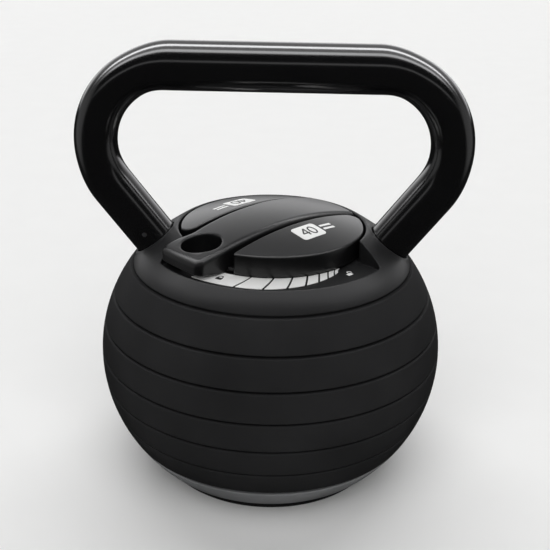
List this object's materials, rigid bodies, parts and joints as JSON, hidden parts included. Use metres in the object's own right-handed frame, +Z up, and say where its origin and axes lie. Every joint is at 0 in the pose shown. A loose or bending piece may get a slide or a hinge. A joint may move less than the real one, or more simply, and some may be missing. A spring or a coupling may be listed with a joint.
{
  "type": "adjustable kettlebell",
  "caption": "Ball-shaped kettlebell of stacked ring plates on a round base, with a bent bar handle and a quarter-turn locking lever set in a domed cover.",
  "frame": {"origin": "centre of the foot's flat underside, on the axis of the ball", "axes": "+Z up along the spindle; the handle lies in the X-Z plane; the front, with the printed scale, faces -Y"},
  "size_m": [0.2434, 0.2196, 0.2747],
  "materials": {
    "foot_rubber": "matt black rubber",
    "base_grey": "satin grey paint",
    "plate_coating": "matt black coating, softly rounded edges",
    "plain_steel": "turned zinc-grey steel",
    "fastener_steel": "zinc-plated fasteners",
    "bush_bronze": "turned bronze",
    "handle_black": "gloss black coating",
    "cover_plastic": "satin black moulded plastic",
    "knob_plastic": "satin black moulded plastic",
    "lever_plastic": "satin black moulded plastic",
    "white_print": "white printed film",
    "washer_nylon": "natural nylon"
  },
  "bodies": {
    "base": {"foot_pad": "foot_rubber", "base_plate": "base_grey", "lock_socket": "plain_steel", "socket_screw_1": "fastener_steel", "socket_screw_2": "fastener_steel", "socket_screw_3": "fastener_steel"},
    "plate_6_body": {"plate_6": "plate_coating"},
    "plate_5_body": {"plate_5": "plate_coating"},
    "plate_4_body": {"plate_4": "plate_coating"},
    "plate_3_body": {"plate_3": "plate_coating"},
    "plate_2_body": {"plate_2": "plate_coating"},
    "plate_1_body": {"plate_1": "plate_coating"},
    "head": {"head_plate": "plain_steel", "spindle_bush": "bush_bronze", "handle_bar": "handle_black", "leg_pin": "fastener_steel", "handle_screw_left": "fastener_steel", "handle_screw_right": "fastener_steel", "top_cover": "cover_plastic", "cover_screw_1": "fastener_steel", "cover_screw_2": "fastener_steel", "cover_screw_3": "fastener_steel", "cover_screw_4": "fastener_steel", "scale_ring": "white_print", "friction_washer": "washer_nylon"},
    "knob": {"knob_carrier": "knob_plastic", "lens_cap_front": "knob_plastic", "lens_cap_rear": "knob_plastic", "lock_lever": "lever_plastic", "label_front": "white_print", "label_rear": "white_print", "spindle": "plain_steel", "lock_pin": "fastener_steel", "spindle_clip": "fastener_steel", "knob_screw": "fastener_steel"}
  },
  "joints": [
    {"name": "lift_plate_6", "type": "slide", "parent": "base", "child": "plate_6_body", "axis": [0, 0, 1], "range_m": [0, 0.026]},
    {"name": "lift_plate_5", "type": "slide", "parent": "plate_6_body", "child": "plate_5_body", "axis": [0, 0, 1], "range_m": [0, 0.0447]},
    {"name": "lift_plate_4", "type": "slide", "parent": "plate_5_body", "child": "plate_4_body", "axis": [0, 0, 1], "range_m": [0, 0.0634]},
    {"name": "lift_plate_3", "type": "slide", "parent": "plate_4_body", "child": "plate_3_body", "axis": [0, 0, 1], "range_m": [0, 0.0821]},
    {"name": "lift_plate_2", "type": "slide", "parent": "plate_3_body", "child": "plate_2_body", "axis": [0, 0, 1], "range_m": [0, 0.1008]},
    {"name": "lift_plate_1", "type": "slide", "parent": "plate_2_body", "child": "plate_1_body", "axis": [0, 0, 1], "range_m": [0, 0.1195]},
    {"name": "lift_head", "type": "slide", "parent": "plate_1_body", "child": "head", "axis": [0, 0, 1], "range_m": [0, 0.1382]},
    {"name": "lock_lever_turn", "type": "hinge", "parent": "head", "child": "knob", "pos_m": [0, 0, 0.15], "axis": [0, 0, 1], "range_deg": [0, 90]}
  ]
}
